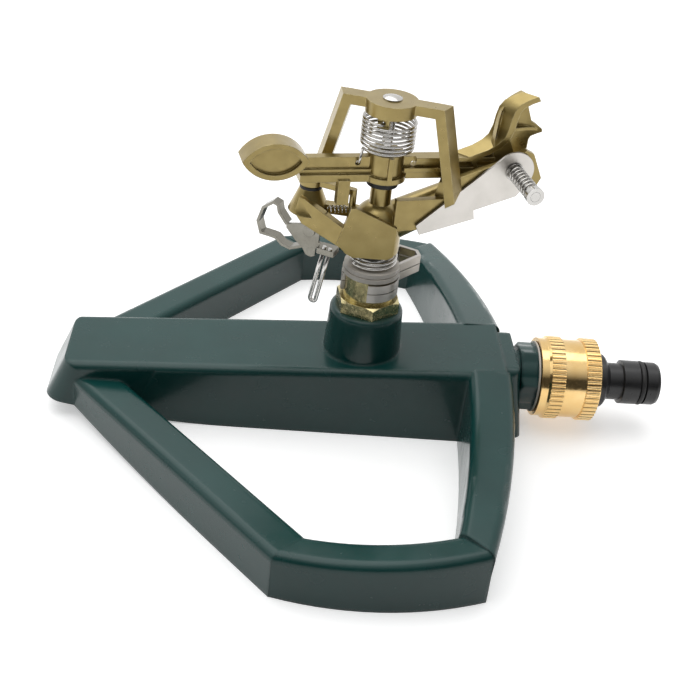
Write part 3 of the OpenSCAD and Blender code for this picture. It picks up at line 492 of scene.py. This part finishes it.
def solid(corners, faces, place):
    """A closed solid with its faces turned outwards."""
    mesh = bpy.data.meshes.new("solid")
    mesh.from_pydata([place @ Vector(c) for c in corners], [], faces)
    work = bmesh.new()
    work.from_mesh(mesh)
    bmesh.ops.recalc_face_normals(work, faces=work.faces)
    work.to_mesh(mesh)
    work.free()
    return bpy.data.objects.new("solid", mesh)


def rings(outlines, place):
    """A solid through closed outlines of the same number of points."""
    n = len(outlines[0])
    last = (len(outlines) - 1) * n
    faces = [tuple(range(n)), tuple(range(last, last + n))]
    for i in range(0, last, n):
        faces += [(i + k, i + (k + 1) % n, i + n + (k + 1) % n, i + n + k) for k in range(n)]
    return solid([c for outline in outlines for c in outline], faces, place)


def prism(outline, low, high, place=Matrix()):
    return rings([[(x, y, z) for x, y in outline] for z in (low, high)], place)


def circle(radius, x=0.0, y=0.0):
    angles = [2 * math.pi * k / CIRCLE for k in range(CIRCLE)]
    return [(x + radius * math.cos(a), y + radius * math.sin(a)) for a in angles]


def cone(r0, r1, low, high, place=Matrix()):
    ends = ((r0, low), (r1, high))
    return rings([[(x, y, z) for x, y in circle(r)] for r, z in ends], place)


def rod(radius, low, high, place=Matrix()):
    return cone(radius, radius, low, high, place)


def block(low, high, place=Matrix()):
    (x0, y0, z0), (x1, y1, z1) = low, high
    return prism([(x0, y0), (x1, y0), (x1, y1), (x0, y1)], z0, z1, place)


def plate(outline, y0, y1):
    """A plate drawn as it is seen from the front, from y0 to y1."""
    return prism(outline, -y1, -y0, FRONT)


def ball(radius, place):
    mesh = bpy.data.meshes.new("solid")
    work = bmesh.new()
    bmesh.ops.create_uvsphere(
        work, u_segments=CIRCLE, v_segments=CIRCLE // 2, radius=radius, matrix=place
    )
    work.to_mesh(mesh)
    work.free()
    return bpy.data.objects.new("solid", mesh)


def swept(profile, start, end):
    """A profile of (radius, height) turned round the Z axis from start to end."""
    outlines = []
    for i in range(SWEEP_STEPS + 1):
        a = math.radians(start + (end - start) * i / SWEEP_STEPS)
        outlines.append([(r * math.cos(a), r * math.sin(a), z) for r, z in profile])
    return rings(outlines, Matrix())


def strip(path, thickness):
    """The outline of a bent strip seen on edge, along the points of path."""
    path = [Vector(p) for p in path]
    sides = [], []
    for i, point in enumerate(path):
        before = (path[max(i, 1)] - path[max(i - 1, 0)]).normalized()
        after = (path[min(i + 1, len(path) - 1)] - path[min(i, len(path) - 2)]).normalized()
        way = (before + after).normalized()
        reach = thickness / 2 / way.dot(after)
        for side, sign in zip(sides, (1, -1)):
            side.append(point + sign * reach * Vector((-way.y, way.x)))
    return [tuple(p) for p in sides[0] + sides[1][::-1]]


def lens(length, height):
    """The outline where two equal circles overlap."""
    radius = (length**2 + height**2) / (4 * height)
    turns = CIRCLE // 2
    xs = [-length / 2 * math.cos(math.pi * k / turns) for k in range(turns + 1)]
    rise = [math.sqrt(max(radius**2 - x**2, 0)) - radius + height / 2 for x in xs]
    upper = list(zip(xs, rise))
    return upper + [(x, -y) for x, y in upper[-2:0:-1]]


def touching(point, centre, radius, side):
    """Where a line from point touches a circle, on its side 1 or -1."""
    way = Vector(centre) - Vector(point)
    far = way.length
    turn = math.atan2(way.y, way.x) + side * math.asin(radius / far)
    reach = math.sqrt(far**2 - radius**2)
    return (point[0] + reach * math.cos(turn), point[1] + reach * math.sin(turn))


def solved(first, operation, others):
    """first with one operation done to it by each of the other solids."""
    show(first)
    for other in others:
        show(other)
        step = first.modifiers.new(operation, "BOOLEAN")
        step.operation, step.object, step.solver = operation, other, "EXACT"
    graph = bpy.context.evaluated_depsgraph_get()
    mesh = bpy.data.meshes.new_from_object(first.evaluated_get(graph))
    for spare in (first, *others):
        bpy.data.objects.remove(spare)
    return bpy.data.objects.new("solid", mesh)


def joined(first, *others):
    """One solid of several. Each is a hair smaller than the last, so no two faces coincide."""
    for i, other in enumerate(others, 1):
        corners = [v.co for v in other.data.vertices]
        middle = sum(corners, Vector()) / len(corners)
        shrink = Matrix.Scale(1 - i * HAIR, 4)
        other.data.transform(Matrix.Translation(middle) @ shrink @ Matrix.Translation(-middle))
    return solved(first, "UNION", others)


def cut(first, *tools):
    return solved(first, "DIFFERENCE", tools)


def common(first, other):
    return solved(first, "INTERSECT", (other,))


def bridge_leg(foot, top, mirror):
    """One leg of the bridge, drawn between two points of its plane and cut level at both."""
    flip = Matrix.Scale(-1, 4, (1, 0, 0)) if mirror else Matrix()
    (x0, y0), (x1, y1) = foot, top
    lean = math.degrees(math.atan2(y1 - y0, x1 - x0))
    place = BRIDGE @ flip @ at(x0, y0) @ turned(lean, "Z") @ turned(90, "Z") @ turned(90, "X")
    d, spare = BRIDGE_HALF, 6
    outline = [(0, d), (-BRIDGE_BAR, d), (-BRIDGE_BAR, -d), (2, -d)]
    bar = prism(outline, -spare, math.hypot(x1 - x0, y1 - y0) + spare, place)
    low = y0 - (4 if mirror else 0)
    return common(bar, block((-60, low, -30), (0, BRIDGE_TOP, 30), BRIDGE @ flip))


def bridge():
    """The legs, the bar over them, the ribs behind their feet, the disc and the spring's lug."""
    h, under = BRIDGE_HALF, BRIDGE_TOP - BRIDGE_BAR
    left = [(-27, 78), (-21.6, 104), (-18, 104), (-22, 90), (-21, 78)]
    right = [(24.8, 97), (25.2, 93), (25, 90), (18, 90), (19, 97)]
    return (
        bridge_leg(LEFT_FOOT, LEFT_TOP, False),
        bridge_leg(RIGHT_FOOT, RIGHT_TOP, True),
        block((LEFT_TOP[0], under, -h), (-RIGHT_TOP[0], BRIDGE_TOP, h), BRIDGE),
        prism(left, -5.4, -2.2, BRIDGE),
        prism(right, -7, -2.8, BRIDGE),
        rod(DISC_R, BRIDGE_TOP - DISC_T, BRIDGE_TOP),
        block((5.1, -2, 116.4), (7.1, 2, 120.1), LUG),
    )


def walls():
    """The shield, the front wall, the latch's boss, its strut, the trip pin's lug and the web."""
    strut = BOSS @ turned(BOSS_TURN + 180, "Z")
    s, z = BOLT_S, BOLT_Z
    shield = [(-10.3, 87.8), (-8.3, 88), (6.2, 81.5), (6.2, 70.5), (4, BODY_Z), (-8, BODY_Z),
              (-10.6, 70.5), (-14, 74.2)]
    wall = [(0, 72), (0, 79.8), (WALL_LEN, 87), (WALL_LEN + 1.6, 87.2), (WALL_LEN + 3, 80.9),
            (WALL_LEN, 77.5)]
    web = [(3, 79.5), (11, 80), (31, 87.5), (s + 6.5, z - 7), (s + 9.8, z - 5.7),
           (s + 11, z - 3), (s + 6.7, z + 6), (s + 3.9, z + 7.3), (s - 5.4, z + 2.4),
           (23.1, 99.3), (22, 99), (20.5, 91.9), (3, 91.3)]
    return (
        prism(shield, 6.8, 9.0, turned(-HEAD_TURN, "Z") @ FRONT),
        prism(wall, -WALL_T, 0, WALL),
        cone(7.4, 3.9, BOSS_LOW, BOSS_Z, BOSS),
        block((0, -1.8, BOSS_LOW), (BOSS_REACH - 5, 1.8, BOSS_LOW + 3.4), strut),
        block((TRIP_W - 3, TRIP_Z - 2.8, -9.0), (TRIP_W + 3, BOSS_LOW + 1, -5.4), WALL),
        plate(web, WEB_Y, WEB_Y + WEB_T),
    )


def sheet_room():
    """What is cut off in front of the web, so that the deflector's sheet can drop there."""
    rise = (ROOM_END - ROOM_X) * math.tan(math.radians(ROOM_RISE))
    outline = [(ROOM_X, 60), (ROOM_X, ROOM_Z), (ROOM_END, ROOM_Z + rise), (ROOM_END, 60)]
    return prism(outline, -WEB_Y + 0.05, 20, FRONT)


def body_solid():
    """The head's casting: column, dome, barrel and rib, post, bridge and walls, then bored."""
    rib = WEB_Y + WEB_T
    whole = joined(
        rod(BODY_R, BODY_Z, DOME_Z),
        ball(BODY_R, at(z=DOME_Z)),
        cone(BARREL_ROOT_R, BARREL_R, 0, BARREL_LEN, BARREL),
        block((-1.5, rib - 2, 10), (1.5, rib + 6, 37), BARREL),
        rod(POST_R, DOME_Z, POST_Z),
        *bridge(),
        *walls(),
    )
    return cut(
        whole,
        rod(TUBE_R + SEAT, BODY_Z - 1, BODY_Z + TUBE_DEPTH),
        rod(WATER_R, BODY_Z, BARREL_Z),
        rod(BORE_R, 0, BARREL_LEN + 1, BARREL),
        rod(PIVOT_R + SEAT, POST_Z - PIVOT_DEPTH, FAR),
        rod(PIN_R + SEAT, BOSS_Z - PIN_DEPTH, BOSS_Z + 1, BOSS),
        rod(LATCH_R + LATCH_ROOM, BOSS_Z, BOSS_Z + 9, BOSS),
        rod(BOLT_R + SEAT, 0, 20, BOLT),
        sheet_room(),
        rod(LUG_HOLE_R, 4, 9, LUG @ at(z=ARM_COIL["high"]) @ turned(90, "Y")),
    )


def nozzle_solid():
    """The nozzle: a plug in the barrel's bore and a ring on its mouth, bored for the jet."""
    whole = joined(
        rod(BORE_R - SEAT, BARREL_LEN - 9, BARREL_LEN + 0.5, BARREL),
        rod(BARREL_R - 0.6, BARREL_LEN, BARREL_LEN + RING_T, BARREL),
    )
    return cut(
        whole,
        cone(JET_MOUTH_R, JET_R, BARREL_LEN - 10, BARREL_LEN - 4, BARREL),
        rod(JET_R, BARREL_LEN - 5, FAR, BARREL),
    )


def spoon():
    """The arm's spoon: its bent sheet, the web under it, its curved back and the small shelf."""
    sheet = [(19.6, 104.2), (24.6, 106.8), (27.1, 108.9), (28.8, 111.2), (29.7, 114.9),
             (30, 118.5), (30.5, 121.4), (31.6, 123.4), (33.6, 124.9), (35.8, 126)]
    web = [(24, -0.5), (36, -0.5), (44.5, -3.4), (48.5, -4.2)]
    web_side = [(24, 96.6), (24, 104.4), (29.5, 104.6), (34.3, 106.5), (37.4, 108),
                (39.6, 109.6), (41.7, 111.3), (42.3, 112), (44.8, 106.2), (47.6, 99.5),
                (46.5, 94.6), (43, 94.2), (39, 97.6), (36, 96.6)]
    back_side = [(38.6, 97.5), (36.6, 109.8), (37.4, 117), (38.6, 121), (41.5, 123.9),
                 (46.6, 126.3), (48.2, 125.6), (49.5, 121.4), (51.5, 116), (53.1, 115.3),
                 (55, 113.9), (55, 113), (52.1, 110.6), (51.6, 109.4), (51.5, 99),
                 (49.5, 94.2), (43.5, 93.8)]
    shelf = [(42, -1), (42, 3), (48, 3.4), (53, 2), (55, 0.1), (50, 0.6)]
    bend = at(47, -9)
    return (
        common(
            prism(strip(sheet, SPOON_T), 12, 40, turned(SPOON_TURN, "Z") @ FRONT),
            block((10, -3.6, 98), (60, 1.2, 138)),
        ),
        common(prism(strip(web, 1.8), 90, 130), plate(web_side, -10, 10)),
        common(cut(rod(13, 90, 130, bend), rod(11.4, 89, 131, bend)), plate(back_side, -6, 10)),
        prism(shelf, 113, 114.1),
    )


def barrel_edge(s, r):
    """The radius and height of a point s along the barrel and r above its middle line."""
    lift = math.radians(BARREL_LIFT)
    height = BARREL_Z + s * math.sin(lift) + r * math.cos(lift)
    return (s * math.cos(lift) - r * math.sin(lift), height)


def barrel_room():
    """What is cut off the arm so that it can swing out over the barrel."""
    mouth = BARREL_LEN + RING_T + GAP
    profile = [
        barrel_edge(10, 0),
        barrel_edge(10, BARREL_ROOT_R + GAP),
        barrel_edge(BARREL_LEN, BARREL_R + GAP),
        barrel_edge(mouth, BARREL_R + GAP),
        barrel_edge(mouth, -BARREL_R - GAP),
        barrel_edge(20, -BARREL_R),
    ]
    return swept(profile, *SWEEP_ARC)


def arm_solid():
    """The arm: hub, left beam, weight, right beam with flanges and brace, peg and spoon.

    The barrel's room, the bushing's bore, the weight's dish and two small holes are then cut.
    """
    z, top, y0, y1 = ARM_Z, ARM_Z + ARM_H, FLANGE_Y, FLANGE_Y + FLANGE_W
    y, low = ARM_BACK, z + LOW_FLANGE_UP
    centre = at(-WEIGHT_X, 0, z + 7.8) @ FRONT
    across, up = DISH_MARGIN
    dish = lens(WEIGHT_LEN - across, WEIGHT_H - up)
    whole = joined(
        rod(HUB_R, z, z + HUB_H),
        rod(HUB_R + HUB_RING, z, z + HUB_RING_H),
        block((-HUB_RIB, -HUB_R - HUB_RING, z), (HUB_RIB, 3.3 - HUB_R, z + HUB_H)),
        block((LEFT_END, y - ARM_WEB, z), (LEFT_ROOT, y, top)),
        block((LEFT_END, -4.2, z), (LEFT_ROOT, 2, z + 2.6)),
        block((LEFT_END, -3, z), (LEFT_ROOT, 0, z + 4.1)),
        prism(lens(WEIGHT_LEN, WEIGHT_H), -WEIGHT_Y, WEIGHT_D - WEIGHT_Y, centre),
        block((RIGHT_ROOT, y - ARM_WEB, z), (RIGHT_END, y, top)),
        block((10, y0, top - FLANGE_T), (FLANGE_END, y1, top)),
        block((6, y0, low), (FLANGE_END, y1, low + FLANGE_T)),
        plate([(29, top), (30.6, top), (33.3, low), (31.7, low)], y0, y0 + 2),
        block((-16.8, -5, 88.5), (-12.7, -1.5, 97.5)),
        *spoon(),
    )
    return cut(
        whole,
        barrel_room(),
        rod(BUSHING_R + SEAT, 90, 120),
        prism(dish, WEIGHT_D - WEIGHT_Y - DISH_DEPTH, WEIGHT_D, centre),
        rod(1, -5, 5, at(9.5, 0, z + 5.6) @ FRONT),
        rod(0.9, -5, 5, at(-10, 0, z + 6) @ FRONT),
    )


def sheet_solid():
    """The deflector's sheet: a plate that narrows to a round eye on the bolt."""
    eye, low = (BOLT_S, BOLT_Z), (10.8, 82.4)
    heel = (BOLT_S + 2.2, BOLT_Z - 9.3)
    r = SHEET_END_R - 0.1
    top = WEB_Y - GAP
    outline = [(12.4, 78.9), low, touching(low, eye, r, 1), (eye[0] + 3, eye[1] + 3),
               touching(heel, eye, r, -1), heel, (30.9, 87.9), (31.6, 84.6)]
    whole = joined(
        plate(outline, top - SHEET_T, top),
        plate(circle(SHEET_END_R, *eye), top - SHEET_T, top),
    )
    return cut(whole, rod(BOLT_R + RUN, 0, 20, BOLT))


def latch_solid():
    """The latch: its hub on the boss, its arm, and the finger that hangs from the arm's end."""
    arm = BOSS @ turned(LATCH_TURN, "Z")
    whole = joined(
        rod(LATCH_R, LATCH_Z, LATCH_Z + LATCH_H, BOSS),
        block((0, -1.2, LATCH_Z), (LATCH_LEN, 1.2, LATCH_Z + 2), arm),
        rod(1.2, LATCH_TIP_Z, LATCH_Z + 2, arm @ at(LATCH_LEN)),
    )
    return cut(whole, rod(PIN_R + RUN, LATCH_Z - 1, LATCH_Z + 6, BOSS))


def pin_solid():
    """The trip lever's pin, with its head in front of the lever."""
    head = LEVER_FRONT + 0.7
    return joined(
        rod(TRIP_PIN_R, LEVER_FRONT - 4.9, head, TRIP),
        rod(TRIP_HEAD_R, LEVER_FRONT + 0.1, head, TRIP),
    )


def hairpin_legs(diameter):
    along = turned(-90, "X")
    return [
        rod(diameter / 2, 0, HAIRPIN_LEN, HAIRPIN @ at(x) @ along)
        for x in (-HAIRPIN_R, HAIRPIN_R)
    ]


def lever_solid():
    """The trip lever: its plate, the strip rolled round it, the hairpin's tab and a rivet."""
    front, back = LEVER_FRONT, LEVER_FRONT - LEVER_T
    flat = [(22.9, 73.6), (22.7, 72.1), (18.9, 68.1), (16.4, 66.4), (14.6, 63.7), (12.6, 63.3),
            (11.2, 64.1), (11.1, 66.6), (10.7, 67.9), (4, 67.9), (4, 69.5), (10.2, 69.8),
            (9.8, 78.6), (10.8, 80), (13.2, 80), (14.2, 76)]
    loop = [(22.8, 73.4), (26, 77.2), (26.6, 79.8), (28.4, 80.4), (32.2, 77.3), (33.9, 71.7),
            (32.5, 67.3), (28.5, 67.2), (26.6, 67), (24, 64.9), (20.9, 64.3), (16, 66.6)]
    whole = joined(
        prism(flat, back, front, WALL),
        prism(strip(loop, 1), front - LEVER_DEPTH, front, WALL),
        block((2.8, 67.6, back - 0.2), (9.2, 69.8, front + LEVER_DEPTH - 0.2), WALL),
        rod(2.2, front - 0.2, front + 0.6, WALL @ at(14, 73.4)),
    )
    legs = hairpin_legs(HAIRPIN_WIRE + 2 * SEAT)
    return cut(whole, rod(TRIP_PIN_R + RUN, -20, 0, TRIP), *legs)


def hairpin_points():
    """The wire of the hairpin, from the top of one leg round its foot to the other."""
    turns = [math.pi + math.pi * k / HAIRPIN_STEPS for k in range(HAIRPIN_STEPS + 1)]
    foot = [(HAIRPIN_R * math.cos(a), HAIRPIN_R * math.sin(a)) for a in turns]
    line = [(-HAIRPIN_R, HAIRPIN_LEN), (-HAIRPIN_R, HAIRPIN_LEN / 2), *foot,
            (HAIRPIN_R, HAIRPIN_LEN / 2), (HAIRPIN_R, HAIRPIN_LEN)]
    return [tuple(HAIRPIN @ Vector((x, y, 0))) for x, y in line]


def head_piece(name, piece, body, node, finish):
    """Takes a solid of the head, drawn in millimetres, to its place and size in the frame."""
    mesh = piece.data
    bpy.data.objects.remove(piece)
    mesh.transform(Matrix.Rotation(HEAD_YAW, 4, "Z") @ Matrix.Scale(MM, 4))
    mesh.shade_smooth()
    mesh.set_sharp_from_angle(angle=math.radians(SHARP_ANGLE))
    put(name, mesh, body, node, finish)


def make_head(finishes):
    """The head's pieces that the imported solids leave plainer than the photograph."""
    gold, bright = finishes["gold lacquer"], finishes["bright zinc"]
    brass, sheet, zinc_painted_dark = (finishes[k] for k in ("turned brass", "rolled sheet", "zinc painted dark for reflections"))
    head_piece("body_casting", body_solid(), "head", "sprinkler_body", gold)
    head_piece("nozzle_turned", nozzle_solid(), "head", "nozzle", brass)
    head_piece("arm_casting", arm_solid(), "arm", "impact_arm", gold)
    head_piece("deflector_plate", sheet_solid(), "deflector", "deflector_sheet", sheet)
    head_piece("latch_casting", latch_solid(), "latch", "reversing_latch", gold)
    head_piece("trip_pivot", pin_solid(), "head", "trip_pin", bright)
    # The lever's finish is zinc darkened as a painted dark reflection.
    head_piece("lever_folded", lever_solid(), "trip", "trip_lever", zinc_painted_dark)
    wire_piece("hairpin_wire", in_head(hairpin_points()), HAIRPIN_WIRE, "trip", "trip_hairpin",
               bright)


def seen_directly(n):
    """1 for rays that show the background itself, in view, in a mirror or through glass."""
    path = n.add("ShaderNodeLightPath").outputs
    seen = n.math("MAXIMUM", path["Is Camera Ray"], path["Is Glossy Ray"])
    return n.math("MAXIMUM", seen, path["Is Transmission Ray"])


def make_world():
    """White behind and above the object, as a studio's backdrop, and dim on the camera's side."""
    world = bpy.data.worlds.new("studio")
    bpy.context.scene.world = world
    world.use_nodes = True
    n = Nodes(world.node_tree)
    direction = n.add("ShaderNodeTexCoord").outputs["Generated"]
    parts = n.add("ShaderNodeSeparateXYZ", {"Vector": direction}).outputs
    behind = n.ramp(parts["Y"], *BACK_RANGE, *BACK_LIGHT)
    above = n.ramp(parts["Z"], *TOP_RANGE, *TOP_LIGHT)
    room = n.math("MAXIMUM", behind, above)
    camera = n.add("ShaderNodeLightPath").outputs["Is Camera Ray"]
    light = n.math("MULTIPLY", room, n.ramp(seen_directly(n), 0.0, 1.0, BOUNCE_SHARE, 1.0))
    strength = n.math("MAXIMUM", camera, light)
    sky = n.add("ShaderNodeBackground", {"Color": WHITE, "Strength": strength})
    n.output("ShaderNodeOutputWorld", sky)


def make_floor():
    """A white floor that casts less light back up at the object than it shows."""
    mesh = bpy.data.meshes.new("floor")
    h = FLOOR_HALF
    mesh.from_pydata([(-h, -h, 0), (h, -h, 0), (h, h, 0), (-h, h, 0)], [], [(0, 1, 2, 3)])
    floor = bpy.data.objects.new("floor", mesh)
    show(floor)
    material, n = new_material("white floor")
    seen = seen_directly(n)
    values = {
        "Base Color": n.mix(seen, FLOOR_BOUNCE, FLOOR_SEEN),
        "Roughness": FLOOR_ROUGH,
        "Emission Color": WHITE,
        "Emission Strength": n.math("MULTIPLY", seen, FLOOR_GLOW),
    }
    n.output("ShaderNodeOutputMaterial", n.add("ShaderNodeBsdfPrincipled", values))
    mesh.materials.append(material)


def main():
    make_camera()
    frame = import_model()
    bpy.context.scene.view_settings.view_transform = "Standard"

    make_world()
    make_floor()
    for light in LIGHTS:
        area_light(*light)

    finishes = make_finishes()
    finish_nodes(frame, finishes)
    make_springs(finishes["drawn wire"])
    make_head(finishes)


main()
